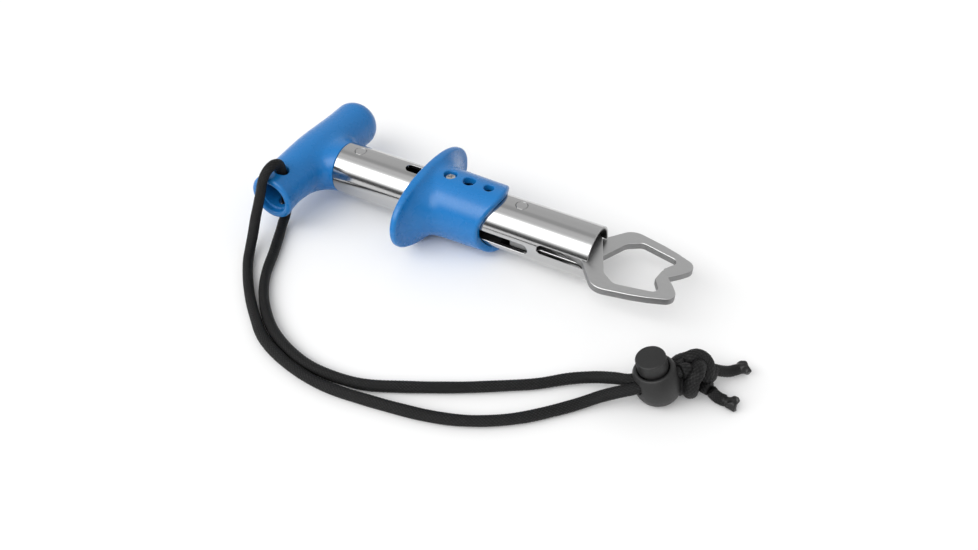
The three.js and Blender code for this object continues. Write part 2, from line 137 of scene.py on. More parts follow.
def ramp(owner, factor, low, high):
    """A colour that goes from low to high with factor, from 0 to 1."""
    made = add_node(owner, "ShaderNodeValToRGB", [(0, factor)])
    for element, colour in zip(made.color_ramp.elements, (low, high)):
        element.color = (*colour, 1)
    return made.outputs[0]


def spread_between(owner, factor, low, high, source=(0.25, 0.75)):
    """A number that goes from low to high while factor goes through the source range."""
    made = add_node(owner, "ShaderNodeMapRange", [
        (0, factor), (1, source[0]), (2, source[1]), (3, low), (4, high),
    ])
    return made.outputs[0]


def noise(owner, scale, stretch=(1, 1, 1), detail=3.0, turn=(0, 0, 0)):
    """Noise in the object's own metres; scale is its waves per metre."""
    place = add_node(owner, "ShaderNodeTexCoord").outputs["Object"]
    stretched = add_node(owner, "ShaderNodeMapping", [(0, place), (2, turn), (3, stretch)])
    made = add_node(owner, "ShaderNodeTexNoise", [
        (0, stretched.outputs[0]), ("Scale", scale), ("Detail", detail),
    ])
    return made.outputs[0]


def bump(owner, height, distance):
    made = add_node(owner, "ShaderNodeBump", [("Height", height), ("Distance", distance), ("Strength", 1.0)])
    return made.outputs[0]


def wire(owner, shader, **sources):
    """Joins each named socket of the shader to its source."""
    for socket, source in sources.items():
        owner.node_tree.links.new(source, shader.inputs[socket.replace("_", " ")])


def blue_plastic():
    made, shader = new_material("blue_plastic", (0.008, 0.16, 0.45), 0.27, Specular_IOR_Level=0.42)
    clouds = noise(made, 70)
    grain = noise(made, 2600, detail=2.0)
    wire(made, shader, Base_Color=ramp(made, clouds, (0.006, 0.145, 0.42), (0.01, 0.175, 0.48)))
    wire(made, shader, Roughness=spread_between(made, noise(made, 220), 0.23, 0.32))
    wire(made, shader, Normal=bump(made, grain, 0.000008))
    return made


def vector_math(owner, operation, *values):
    return add_node(owner, "ShaderNodeVectorMath", enumerate(values), operation=operation).outputs


def painted_tube_shade(owner):
    """1 on the tube's inner wall, 0 outside: there the steel is painted dark grey as shade inside the tube,
    and made rougher, unpolished.
    """
    place = add_node(owner, "ShaderNodeTexCoord").outputs["Object"]
    from_axis = vector_math(owner, "ADD", place, (0, 0, -ORIGIN[2]))[0]
    across = vector_math(owner, "MULTIPLY", from_axis, (0, 1, 1))[0]
    radius = vector_math(owner, "LENGTH", across)["Value"]
    return spread_between(owner, radius, 1.0, 0.0, (0.0101, 0.0104))


def shaded_cut_edges(owner):
    """1 on the upright faces, where the plate was cut, and 0 on its flat faces: these faces are painted
    darker grey as shade, and made rougher.
    """
    normal = add_node(owner, "ShaderNodeNewGeometry").outputs["Normal"]
    split = add_node(owner, "ShaderNodeSeparateXYZ", [(0, normal)])
    flatness = math_node(owner, "ABSOLUTE", split.outputs[2])
    return spread_between(owner, flatness, 1.0, 0.0, (0.3, 0.7))


def brushed_steel(name, grey, roughness, stretch, relief, turn=(0, 0, 0), painted_shade=None, shade_grey=0.1):
    """Steel brushed along the axis with the small stretch, and with painted shade: a darker grey where the
    given mask says, which is also rougher there, not polished.
    """
    made, shader = new_material(name, (grey, grey, grey), sum(roughness) / 2, 1.0)
    marks = noise(made, 1000, stretch, 4.0, turn)
    light, dark = grey * 1.04, grey * 0.93
    colour = ramp(made, marks, (dark,) * 3, (light,) * 3)
    rough = spread_between(made, marks, *roughness)
    # Painted shade: where the mask is 1 the colour goes to a darker grey, and the roughness rises there too.
    if painted_shade:
        where = painted_shade(made)
        colour = add_node(made, "ShaderNodeMix", [
            (0, where), (6, colour), (7, (shade_grey, shade_grey, shade_grey, 1)),
        ], data_type="RGBA").outputs[2]
        rough = math_node(made, "ADD", rough, math_node(made, "MULTIPLY", where, 0.2))
    wire(made, shader, Base_Color=colour)
    wire(made, shader, Roughness=rough)
    wire(made, shader, Normal=bump(made, marks, relief))
    return made


def black_moulding(name, grey, roughness):
    made, shader = new_material(name, (grey, grey, grey), sum(roughness) / 2)
    grain = noise(made, 1800, detail=4.0)
    wire(made, shader, Base_Color=ramp(made, noise(made, 300), (grey * 0.8,) * 3, (grey * 1.25,) * 3))
    wire(made, shader, Roughness=spread_between(made, grain, *roughness))
    wire(made, shader, Normal=bump(made, grain, 0.00004))
    return made


FILAMENTS = 4  # across one yarn of the braid


def braid_material():
    made, shader = new_material("black_braid", (0.006, 0.006, 0.006), 0.45, Specular_IOR_Level=0.25)
    place = add_node(made, "ShaderNodeUVMap", uv_map="braid").outputs[0]
    split = add_node(made, "ShaderNodeSeparateXYZ", [(0, place)])
    one = math_node(made, "ADD", split.outputs[0], split.outputs[1])
    other = math_node(made, "SUBTRACT", split.outputs[0], split.outputs[1])
    sines = [math_node(made, "SINE", math_node(made, "MULTIPLY", x, math.pi)) for x in (one, other)]
    first_over = math_node(made, "GREATER_THAN", math_node(made, "MULTIPLY", *sines), 0.0)
    across = add_node(made, "ShaderNodeMix", [(0, first_over), (2, other), (3, one)]).outputs[0]
    wave = math_node(made, "SINE", math_node(made, "MULTIPLY", across, 2 * math.pi * FILAMENTS))
    filaments = spread_between(made, wave, 0.0, 1.0, (-1, 1))
    # Painted light on the braid: the yarns' crowns are painted lighter as a highlight and the crevices
    # between them near-black as shade, with a random tone on top.
    crown = add_node(made, "ShaderNodeAttribute", attribute_name="crown").outputs["Fac"]
    crown_highlight = spread_between(made, crown, 0.0, 1.0, (0.5, 1.0))
    lit = math_node(made, "MULTIPLY", crown_highlight, spread_between(made, noise(made, 900), 0.35, 1.0))
    wire(made, shader, Base_Color=ramp(made, lit, (0.0004, 0.0004, 0.0004), (0.034, 0.034, 0.035)))
    wire(made, shader, Roughness=spread_between(made, filaments, 0.35, 0.6, (0, 1)))
    wire(made, shader, Normal=bump(made, filaments, 0.00005))
    return made


# The tube's inner wall and the jaws' cut edges get painted shade: their steel colour is darker grey.
MATERIALS = {
    "blue": blue_plastic(),
    "tube": brushed_steel("polished_steel", 0.52, (0.1, 0.17), (0.012, 1.4, 1.4), 0.000004, painted_shade=painted_tube_shade),
    "plain": brushed_steel("plain_steel", 0.6, (0.18, 0.3), (1, 1, 1), 0.000006),
    "jaw": brushed_steel(
        "jaw_steel", 0.54, (0.3, 0.42), (0.35, 1.6, 1.6), 0.00001, (0, 0, 0.6), shaded_cut_edges, shade_grey=0.3),
    "acetal": black_moulding("black_acetal", 0.008, (0.45, 0.6)),
    "lock": black_moulding("dark_plastic", 0.009, (0.42, 0.58)),
    "melted": black_moulding("melted_cord", 0.0015, (0.3, 0.55)),
    "braid": braid_material(),
}

# Meshes


def make_piece(name, points, faces, material, body, slot, replaces=(), normals=None):
    """A piece from points in millimetres in the tube's frame."""
    mesh = bpy.data.meshes.new(name)
    mesh.from_pydata(placed(points).tolist(), [], faces)
    mesh.polygons.foreach_set("use_smooth", [True] * len(mesh.polygons))
    mesh.materials.append(MATERIALS[material])
    if normals is not None:
        mesh.normals_split_custom_set_from_vertices(np.asarray(normals).tolist())
    made = bpy.data.objects.new(name, mesh)
    bpy.context.scene.collection.objects.link(made)
    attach(made, body)
    if replaces:
        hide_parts(*replaces)
    return made


def meet(a, b, radius=0.0):
    """The part that two solids share, with its edge rounded."""
    inner = np.minimum(-radius, np.maximum(a, b))
    return inner + np.hypot(np.maximum(radius + a, 0), np.maximum(radius + b, 0))


def join(a, b, radius):
    """Two solids together, with a fillet between them."""
    outer = np.maximum(radius, np.minimum(a, b))
    return outer - np.hypot(np.maximum(radius - a, 0), np.maximum(radius - b, 0))


def cut(a, b, radius=0.0):
    return meet(a, -b, radius)


def slope(field, points, reach=0.01):
    columns = []
    for axis in np.eye(3) * reach:
        ahead = field(*(points + axis).T)
        behind = field(*(points - axis).T)
        columns.append((ahead - behind) / (2 * reach))
    return np.stack(columns, -1)


def surface(field, low, high, step):
    """Points, faces and normals of the surface where field is zero; it is negative inside."""
    axes = [np.arange(a - 1.5 * step, b + 2.5 * step, step) for a, b in zip(low, high)]
    value = field(*np.meshgrid(*axes, indexing="ij"))
    cells = np.array(value.shape) - 1
    crossings, corners, flips = [], [], []
    for axis in range(3):
        near = np.take(value, range(cells[axis]), axis)
        far = np.take(value, range(1, cells[axis] + 1), axis)
        at = np.argwhere((near < 0) != (far < 0))
        near, far = near[tuple(at.T)], far[tuple(at.T)]
        crossing = at.astype(float)
        crossing[:, axis] += near / (near - far)
        b, c = np.eye(3, dtype=int)[[(axis + 1) % 3, (axis + 2) % 3]]
        around = [at - b - c, at - c, at, at - b]
        corners.append(np.stack([np.ravel_multi_index(tuple(x.T), cells) for x in around], -1))
        crossings.append(crossing)
        flips.append(near >= 0)
    crossings = np.concatenate(crossings)
    corners = np.concatenate(corners)
    flips = np.concatenate(flips)
    used, faces = np.unique(corners, return_inverse=True)
    faces = faces.reshape(corners.shape)
    count = np.bincount(faces.ravel(), minlength=len(used))
    points = np.stack([
        np.bincount(faces.ravel(), np.repeat(crossings[:, k], 4), len(used)) / count for k in range(3)
    ], -1)
    points = points * step + np.array([a[0] for a in axes])
    for _ in range(4):
        gradient = slope(field, points)
        steepness = np.maximum((gradient ** 2).sum(1), 1e-6)
        move = gradient * (field(*points.T) / steepness)[:, None]
        size = np.linalg.norm(move, axis=1)[:, None]
        points = points - move * np.minimum(1, 0.5 * step / np.maximum(size, 1e-9))
    normals = slope(field, points)
    normals /= np.maximum(np.linalg.norm(normals, axis=1), 1e-9)[:, None]
    faces[flips] = faces[flips][:, ::-1]
    return points, faces.tolist(), normals


COARSENING = 1


def moulded(name, field, low, high, step, material, body, slot, replaces, place=None):
    """A piece from a field; place turns the field's points into the tube's frame."""
    points, faces, normals = surface(field, low, high, step * COARSENING)
    if place is not None:
        centre, axes = place
        points = points @ axes + centre
        normals = normals @ axes
    return make_piece(name, points, faces, material, body, slot, replaces, normals)


# Cords: the lanyard's routes, the same as in the CAD source, in millimetres in the tube's frame

CORD_D = 4.0
SWELL = 0.12  # that the braid's crowns stand past the cord's own radius
LYING = GROUND + CORD_D / 2 + SWELL

OUTER_STRAND = [
    (-13.4, -26.5, 0.4), (-13.4, -26.5, 5), (-13.4, -26.7, 10.2), (-13.2, -28, 13.8),
    (-13.2, -30.9, 15.3), (-13.6, -34.4, 14.4), (-14.3, -37.2, 11.2), (-15, -38.9, 6),
    (-16.1, -40.4, 0.4), (-16.8, -42.6, -5.2), (-15.8, -46.6, -10.2), (-12.8, -53, -13.4),
    (-8.4, -59.8, LYING), (2.6, -72.2, LYING), (13.5, -82, LYING), (23.3, -89.2, LYING),
    (34.4, -93.8, LYING), (44.9, -96.3, LYING), (54, -97.3, LYING), (63.1, -96.9, LYING),
    (72.4, -95.6, LYING), (84.2, -93.6, LYING), (95.5, -91.1, LYING), (105.9, -87.5, LYING),
    (114.9, -82.7, LYING), (123.5, -76.4, LYING), (131.7, -68.4, LYING), (138.6, -61.2, -13.8),
    (144.2, -56.4, -11.8), (149.3, -53.7, -9.4), (154.3, -50.9, -7.5), (160.1, -45.9, -5),
    (166.2, -40.6, -2.4),
]

INNER_STRAND = [
    (-13.4, -26.5, -0.4), (-13.4, -26.5, -4.4), (-13.5, -26.8, -8.6), (-13.4, -28.6, -12),
    (-12.5, -32, -13.6), (-9.7, -37.7, LYING), (-4.1, -48.8, LYING), (1.2, -60, LYING),
    (7.2, -69.1, LYING), (15.4, -77.8, LYING), (24.8, -84.8, LYING), (35, -89.4, LYING),
    (44, -91.8, LYING), (52, -92.4, LYING), (60, -91.8, LYING), (68.7, -90, LYING), (81.4, -84.1, LYING),
    (98.7, -74.7, LYING), (112.1, -66.3, LYING), (121.5, -60, LYING), (131, -52.6, -13.6),
    (138.8, -49.5, -11.6), (145.6, -48.7, -9.1), (151.5, -47.5, -7.8), (157.3, -42.5, -5.3),
    (163.4, -37.2, -2.7),
]

UPPER_TAIL = [(175.1, -27.3, -9.4), (177.3, -24.7, -11.5), (179.6, -22.1, -13), (181.8, -19.5, -13.3)]
LOWER_TAIL = [(176.6, -34.9, -11.9), (178.4, -34.9, -13.5), (180.4, -34.9, LYING), (182.3, -34.9, LYING)]

YARNS = 12  # that wind each way round the cord
YARN_LENGTH = 1.35  # along the cord, of one crossing
YARN_RELIEF = 0.24
RING_STEP = 0.34
SIDES = 48


def distance_along(points):
    """How far each point is from the first, measured along the line."""
    return np.concatenate([[0], np.cumsum(np.linalg.norm(np.diff(points, axis=0), axis=1))])


def even_points(points, count):
    """The line again, with count points at even distances."""
    along = distance_along(points)
    at = np.linspace(0, along[-1], count)
    return np.stack([np.interp(at, along, points[:, k]) for k in range(3)], -1)


def evenly(points, step):
    """The line again, with points about step apart."""
    return even_points(points, max(3, math.ceil(distance_along(points)[-1] / step) + 1))


def curve_through(route, step):
    """A smooth curve through a route's points, with points about step apart."""
    route = np.asarray(route, float)
    ends = [2 * route[0] - route[1], *route, 2 * route[-1] - route[-2]]
    knots = np.concatenate([[0], np.cumsum(np.linalg.norm(np.diff(ends, axis=0), axis=1) ** 0.5)])
    fine = []
    for i in range(1, len(ends) - 2):
        p0, p1, p2, p3 = ends[i - 1:i + 3]
        t0, t1, t2, t3 = knots[i - 1:i + 3]
        t = np.linspace(t1, t2, 24, endpoint=i == len(ends) - 3)[:, None]
        a = (t1 - t) / (t1 - t0) * p0 + (t - t0) / (t1 - t0) * p1
        b = (t2 - t) / (t2 - t1) * p1 + (t - t1) / (t2 - t1) * p2
        c = (t3 - t) / (t3 - t2) * p2 + (t - t2) / (t3 - t2) * p3
        d = (t2 - t) / (t2 - t0) * a + (t - t0) / (t2 - t0) * b
        e = (t3 - t) / (t3 - t1) * b + (t - t1) / (t3 - t1) * c
        fine.append((t2 - t) / (t2 - t1) * d + (t - t1) / (t2 - t1) * e)
    return evenly(np.concatenate(fine), step)


def frames_along(line):
    """Two unit vectors across the line at each of its points, turning as little as they can."""
    tangents = np.gradient(line, axis=0)
    tangents /= np.linalg.norm(tangents, axis=1)[:, None]
    start = np.cross(tangents[0], np.eye(3)[np.abs(tangents[0]).argmin()])
    across = [start / np.linalg.norm(start)]
    for tangent in tangents[1:]:
        side = across[-1] - (across[-1] @ tangent) * tangent
        across.append(side / np.linalg.norm(side))
    across = np.array(across)
    return across, np.cross(tangents, across)


def tube_along(line, radius, sides):
    """Points, quads and the angle at each point of a round tube; radius is one number or one a point."""
    across, up = frames_along(line)
    angle = 2 * np.pi * np.arange(sides) / sides
    radius = np.broadcast_to(radius, (len(line), sides))
    spokes = across[:, None] * np.cos(angle)[None, :, None] + up[:, None] * np.sin(angle)[None, :, None]
    points = line[:, None] + spokes * radius[..., None]
    rings = len(line)
    faces = [
        (i * sides + k, i * sides + (k + 1) % sides, (i + 1) * sides + (k + 1) % sides, (i + 1) * sides + k)
        for i in range(rings - 1) for k in range(sides)
    ]
    faces.append(tuple(range(sides))[::-1])
    faces.append(tuple((rings - 1) * sides + k for k in range(sides)))
    return points.reshape(-1, 3), faces


def braid_relief(angle, along):
    """How far each point of the cord stands proud, from 0 to 1: yarns that go over and under each other."""
    one = YARNS * angle / (2 * np.pi) + along / YARN_LENGTH
    other = YARNS * angle / (2 * np.pi) - along / YARN_LENGTH
    over = np.clip(1.6 * np.sin(np.pi * one) * np.sin(np.pi * other), -1, 1)
    crowns = [1 - (2 * (x % 1) - 1) ** 2 for x in (one, other)]
    return np.maximum(crowns[0] * (0.55 + 0.45 * over), crowns[1] * (0.55 - 0.45 * over))


def braided(name, line, body, replaces, radius=CORD_D / 2 + SWELL, phase=0.0):
    """A braided cord along a line of even points."""
    step = np.linalg.norm(line[1] - line[0])
    along = np.arange(len(line)) * step
    angle = 2 * np.pi * np.arange(SIDES) / SIDES
    grid_along, grid_angle = np.meshgrid(along, angle, indexing="ij")
    relief = braid_relief(grid_angle, grid_along)
    oval = 0.035 * np.cos(2 * grid_angle + 0.09 * grid_along + phase)
    uneven = 0.02 * np.sin(0.31 * grid_along + phase) * np.cos(0.13 * grid_along)
    size = radius * (1 + oval + uneven) - YARN_RELIEF * (1 - relief)
    points, faces = tube_along(line, size, SIDES)
    made = make_piece(name, points, faces, "braid", body, "black_braid", replaces)
    mesh = made.data
    crown = mesh.attributes.new("crown", "FLOAT", "POINT")
    crown.data.foreach_set("value", relief.ravel().astype(np.float32))
    layer = mesh.uv_layers.new(name="braid")
    turns = np.zeros(len(mesh.loops) * 2, np.float32)
    corner = 0
    for face in faces:
        last_side = len(face) == 4 and face[0] % SIDES == SIDES - 1
        for vertex in face:
            side = vertex % SIDES
            if last_side and side == 0:
                side = SIDES
            turns[2 * corner] = YARNS * side / SIDES
            turns[2 * corner + 1] = along[vertex // SIDES] / YARN_LENGTH
            corner += 1
    layer.data.foreach_set("uv", turns)
    return made


outer_line = curve_through(OUTER_STRAND, RING_STEP)
inner_line = curve_through(INNER_STRAND, RING_STEP)
outer_strand = braided("outer_lanyard_braid", outer_line, "frame", ["outer_lanyard_strand"])
inner_strand = braided("inner_lanyard_braid", inner_line, "frame", ["inner_lanyard_strand"], phase=2.0)
upper_tail = braided("upper_tail_braid", curve_through(UPPER_TAIL, RING_STEP), "frame", ["upper_cord_tail"])
lower_tail = braided("lower_tail_braid", curve_through(LOWER_TAIL, RING_STEP), "frame", ["lower_cord_tail"])

# Cord lock

LOCK_CENTRE = np.array([159.1, -44, -6.6])
LOCK_UP = np.array([-0.279, -0.154, 0.948])
LOCK_ALONG = np.array([0.77, 0.64, 0])
STRAND_PITCH = 4.4  # between the strands' middles in the lock
STRAND_HEIGHT = 1.5  # of the strands above the lock's middle
BUTTON_TRAVEL = 2.0

lock_up = LOCK_UP / np.linalg.norm(LOCK_UP)
lock_along = LOCK_ALONG - (LOCK_ALONG @ lock_up) * lock_up
lock_along /= np.linalg.norm(lock_along)
LOCK_PLACE = (LOCK_CENTRE, np.stack([lock_along, np.cross(lock_up, lock_along), lock_up]))
# The barrel's outside: height and radius.
BARREL = [
    (-8.6, 3.6), (-8.3, 5), (-7.1, 6.8), (-4.4, 8.0), (-0.8, 8.5), (2, 8.3), (4.2, 7.6), (5.6, 6.85),
    (6.4, 6.3),
]
BARREL_BOTTOM, BARREL_TOP = -8.3, 6.0
CAVITY_R, CAVITY_FLOOR = 5.65, -6.7
BUTTON_R, BUTTON_TOP = 5.3, 11.6
BUTTON_CROWN = 0.011  # how fast its top falls away from its middle
BUTTON_WEB = 1.4  # under the strands


def passage(y, z, low, high):
    """The rounded way through the lock for the two strands, from low to high."""
    half_width = STRAND_PITCH / 2 + CORD_D / 2 + 0.3
    half_height = (high - low) / 2
    corner = CORD_D / 2
    a = np.abs(y) - half_width + corner
    b = np.abs(z - (low + high) / 2) - half_height + corner
    return np.hypot(np.maximum(a, 0), np.maximum(b, 0)) + np.minimum(np.maximum(a, b), 0) - corner


barrel_curve = curve_through([(z, r, 0) for z, r in BARREL], 0.05)
STRANDS_LOW = STRAND_HEIGHT - CORD_D / 2 - 0.35
STRANDS_HIGH = STRAND_HEIGHT + CORD_D / 2 + 0.35


def lock_body_field(x, y, z):
    rho = np.hypot(x, y)
    side = rho - np.interp(z, barrel_curve[:, 0], barrel_curve[:, 1])
    body = meet(meet(side, BARREL_BOTTOM - z, 0.9), z - BARREL_TOP, 0.35)
    body = cut(body, np.maximum(rho - CAVITY_R, CAVITY_FLOOR - z), 0.25)
    return cut(body, passage(y, z, STRANDS_LOW, STRANDS_HIGH), 0.5)


def lock_button_field(x, y, z):
    rho = np.hypot(x, y)
    body = meet(rho - BUTTON_R, z - BUTTON_TOP + BUTTON_CROWN * rho ** 2, 0.45)
    body = meet(body, STRANDS_LOW - BUTTON_WEB - z, 0.3)
    return cut(body, passage(y, z, STRANDS_LOW, STRANDS_HIGH + BUTTON_TRAVEL), 0.3)


lock_body = moulded(
    "cord_lock_barrel", lock_body_field, (-8.6, -8.6, -8.6), (8.6, 8.6, 6.2), 0.34,
    "lock", "frame", "dark_plastic", ["cord_lock_body"], LOCK_PLACE)
lock_button = moulded(
    "cord_lock_plunger", lock_button_field, (-5.4, -5.4, -2.6), (5.4, 5.4, 11.8), 0.3,
    "lock", "cord_lock_button", "dark_plastic", ["cord_lock_button"], LOCK_PLACE)

# Knot: both strands wind round each other between the lock and the tails, pulled tight

# The knot's own axes: along it towards the tails, up its front face, and out of that face.
KNOT_CENTRE = np.array([170.2, -35.4, -8.0])
KNOT_TURN = math.radians(27.4)
KNOT_TILT = math.radians(41.7)
KNOT_OUTER = [
    (-3.5, 2.2, -3.4), (1, 2.8, -2.4), (1.6, 4.4, 1.6), (-1.6, 1.6, 6), (-2.2, -3, 4.8), (-1.8, -5.2, 0.4),
    (0.6, -3.8, -4), (3, -2.6, -3.4),
]
KNOT_INNER = [
    (-6.2, -1.6, 3.4), (-5.2, -4.6, 1), (-5, -1.8, -4.2), (-4.6, 4.4, -2.2), (-1.6, 6.4, 0.2),
    (2.4, 5.6, -0.2), (3.9, 2.4, 0.4), (3.2, 0.2, 1.4), (5.4, 1, -1.2),
]
KNOT_NODES = 64
KNOT_CORD_R = (2.65, 2.5)
TIGHTENING = 40  # rounds
EASING = 0.04  # how far a node goes towards the middle of its neighbours in a round
CONTACT = 0.97 * CORD_D  # the least distance between two strands' middles
PUSH = 0.6  # how much of an overlap goes at once
SAME_STRETCH = 1.5 * CORD_D  # points of one strand that are nearer than this don't push each other
KNOT_LEAD = 1.2  # how far each strand runs straight at both ends


def pushed_apart(lines):
    """The lines, moved a little so that cords along them don't pass through each other or the ground."""
    strand_of = np.repeat([0, 1], KNOT_NODES)
    flat = lines.reshape(-1, 3)
    lengths = np.linalg.norm(np.diff(lines, axis=1), axis=2)
    along = np.concatenate([np.zeros((2, 1)), np.cumsum(lengths, axis=1)], 1).ravel()
    gap = flat[:, None] - flat[None]
    far = np.linalg.norm(gap, axis=2)
    apart = (strand_of[:, None] != strand_of[None]) | (np.abs(along[:, None] - along[None]) > SAME_STRETCH)
    press = np.where(apart, np.maximum(CONTACT - far, 0), 0)
    push = (gap / np.maximum(far, 1e-6)[..., None] * press[..., None]).sum(1)
    push /= np.maximum((press > 0).sum(1), 1)[:, None]
    flat = flat + PUSH * push
    flat[:, 2] = np.maximum(flat[:, 2], LYING)
    return flat.reshape(2, KNOT_NODES, 3)


def knot_lines():
    """Both strands' lines from the lock to the tails."""
    along = np.array([math.cos(KNOT_TURN), math.sin(KNOT_TURN), 0])
    sideways = np.array([math.sin(KNOT_TURN), -math.cos(KNOT_TURN), 0])
    upward = np.array([0, 0, math.cos(KNOT_TILT)]) - sideways * math.sin(KNOT_TILT)
    outward = np.array([0, 0, math.sin(KNOT_TILT)]) + sideways * math.cos(KNOT_TILT)
    axes = np.stack([along, upward, outward])
    lines = []
    ways = ((OUTER_STRAND, KNOT_OUTER, LOWER_TAIL), (INNER_STRAND, KNOT_INNER, UPPER_TAIL))
    for strand, route, tail in ways:
        start = np.array(strand[-1])
        finish = np.array(tail[0])
        out = np.subtract(tail[1], tail[0])
        out /= np.linalg.norm(out)
        middle = KNOT_CENTRE + np.array(route) @ axes
        whole = [start, start + KNOT_LEAD * lock_along, *middle, finish - KNOT_LEAD * out, finish]
        lines.append(even_points(curve_through(whole, 0.3), KNOT_NODES))
    lines = np.array(lines)
    starts, finishes = lines[:, :2].copy(), lines[:, -2:].copy()
    for turn in range(TIGHTENING):
        lines[:, 1:-1] += EASING * (0.5 * (lines[:, :-2] + lines[:, 2:]) - lines[:, 1:-1])
        for _ in range(3):
            lines = pushed_apart(lines)
            lines[:, :2], lines[:, -2:] = starts, finishes
        if turn % 10 == 9:
            lines = np.array([even_points(line, KNOT_NODES) for line in lines])
    return lines


def make_knot():
    names = ("knot_braid_a", "knot_braid_b")
    made = []
    for name, line, replaced, radius in zip(names, knot_lines(), (["lanyard_knot"], []), KNOT_CORD_R):
        made.append(braided(name, curve_through(line[::2], RING_STEP), "frame", replaced, radius, 1.0))
    return made


knot_pieces = make_knot()

# Melted tips of the tails


TIP_LENGTH = 4.4
# Along the tip, and its radius there.
TIP_FLARE = ((-1.5, 0.6, 2.6, 4.4), (1.75, 2.0, 2.75, 2.95))
TIP_HOLLOW_R = 1.7


def melted_tip(name, tail, replaced, seed):
    """A lumpy flared end with a hollow, where the cord was melted."""
    route = np.asarray(tail, float)
    along = route[-1] - route[-2]
    along[2] = 0
    along /= np.linalg.norm(along)
    axes = np.stack([along, np.cross((0, 0, 1), along), (0, 0, 1)])

    def field(x, y, z):
        lumps = 0.2 * np.sin(1.9 * x + seed) * np.cos(2.3 * y + 2 * seed)
        lumps = lumps + 0.16 * np.sin(2.7 * z + 1.3 * y + seed)
        rho = np.hypot(y, z * 1.15) + lumps
        end = x - TIP_LENGTH - 0.25 * np.sin(1.6 * y + seed) + 0.07 * (z + 1) ** 2
        body = meet(rho - np.interp(x, *TIP_FLARE), end, 0.7)
        body = meet(body, -1.2 - x, 0.3)
        hollow = np.sqrt((x - 5.1) ** 2 + (y - 0.3) ** 2 + z ** 2) - TIP_HOLLOW_R
        return meet(cut(body, hollow, 0.4), -CORD_D / 2 - 0.05 - z, 0.3)

    return moulded(
        name, field, (-1.6, -3.4, -3.2), (5, 3.4, 3.4), 0.26,
        "melted", "frame", "melted_cord", [replaced], (route[-1], axes))


upper_tip = melted_tip("upper_tail_tip", UPPER_TAIL, "upper_cord_tip", 0.7)
lower_tip = melted_tip("lower_tail_tip", LOWER_TAIL, "lower_cord_tip", 2.9)

# Handle

BAR_NEAR, BAR_FAR = -35.0, 36.0
# The bar's middle and radius along it: station, x, height and radius.
BAR_SECTIONS = [
    (-38, -13.9, 0.5, 9.75), (-34, -14.1, 0.6, 9.8), (-30.5, -14.5, 0.8, 9.5), (-25, -15, 1.2, 9.6),
    (-17, -15.1, 1.25, 10.1), (-8, -15, 1.2, 10.8), (0, -15, 1.2, 11.1), (9, -15.1, 1.3, 10.8),
    (19, -15.3, 1.5, 10.35), (28, -15.4, 1.6, 10.4), (38, -15.4, 1.6, 10.4),
]
DOME_FROM = 27.0
DOME_POWER = 2.2
# The neck's half width at each distance behind the tube, where it spreads out into the bar.
NECK_SPREAD = [
    (-1, 11.1), (0, 11.1), (1.5, 11.35), (3, 12.1), (5, 14), (7, 16.9), (9, 20.1), (11, 23.4), (14, 27),
    (18, 29),
]
NECK_TAPER = 0.07  # that its half height loses with each millimetre
NECK_REAR = -14.0
SPIGOT_MIDDLE, SPIGOT_HALF_LENGTH = 4.0, 10.0
TUBE_R = 11.1
TUBE_BORE_R = 9.8
GAP = 0.3
HANDLE_PIN_X = 7.8
HANDLE_PIN_HOLE_R = 2.55
# The bar's open end is wider for a short way, and then a bore.
MOUTH_R, MOUTH_DEPTH = 6.9, 2.6
BORE_R, BORE_DEPTH = 6.1, 38.0
CORD_HOLE = (-13.4, -26.5)
UPPER_HOLE_R, LOWER_HOLE_R = 2.9, 2.8


def smooth_table(rows):
    """A table with rows closer together, on smooth curves through the given ones."""
    width = len(rows[0])
    columns = [curve_through([(row[0], row[k], 0) for row in rows], 0.1) for k in range(1, width)]
    return [(column[:, 0], column[:, 1]) for column in columns]


bar_middle_x, bar_middle_z, bar_radius = smooth_table(BAR_SECTIONS)
neck_width, = smooth_table(NECK_SPREAD)


def handle_field(x, y, z):
    radius = np.interp(y, *bar_radius)
    rho = np.hypot(x - np.interp(y, *bar_middle_x), z - np.interp(y, *bar_middle_z))
    over = np.maximum(y - DOME_FROM, 0) / (BAR_FAR - DOME_FROM)
    dome = ((rho / radius) ** DOME_POWER + over ** DOME_POWER) ** (1 / DOME_POWER)
    bar = np.where(y > DOME_FROM, (dome - 1) * radius, rho - radius)
    bar = meet(bar, BAR_NEAR - y, 1.6)

    behind = -x - GAP
    half_width = np.interp(behind, *neck_width)
    half_height = TUBE_R - NECK_TAPER * np.clip(behind, 0, -NECK_REAR)
    neck = (np.hypot(y / half_width, z / half_height) - 1) * half_height
    neck = np.maximum(neck, NECK_REAR - x)
    body = meet(join(bar, neck, 1.3), x + GAP, 0.25)
    spigot = np.maximum(np.hypot(y, z) - TUBE_BORE_R + GAP, np.abs(x - SPIGOT_MIDDLE) - SPIGOT_HALF_LENGTH)
    body = np.minimum(body, spigot)

    body = cut(body, np.maximum(rho - MOUTH_R, y - BAR_NEAR - MOUTH_DEPTH), 0.9)
    body = cut(body, np.maximum(rho - BORE_R, y - BAR_NEAR - BORE_DEPTH), 0.3)
    upper_hole = np.hypot(x - CORD_HOLE[0], y - CORD_HOLE[1]) - UPPER_HOLE_R
    lower_hole = np.hypot(x - CORD_HOLE[0] - 0.2, y - CORD_HOLE[1] + 0.3) - LOWER_HOLE_R
    body = cut(body, np.maximum(upper_hole, -z), 0.7)
    body = cut(body, np.maximum(lower_hole, z), 0.7)
    return cut(body, np.hypot(x - HANDLE_PIN_X, y) - HANDLE_PIN_HOLE_R, 0.1)


moulded(
    "handle_moulding", handle_field, (-26.4, -35, -11.2), (14, 36, 12.6), 0.5,
    "blue", "frame", "blue_plastic", ["handle"])

# Collar

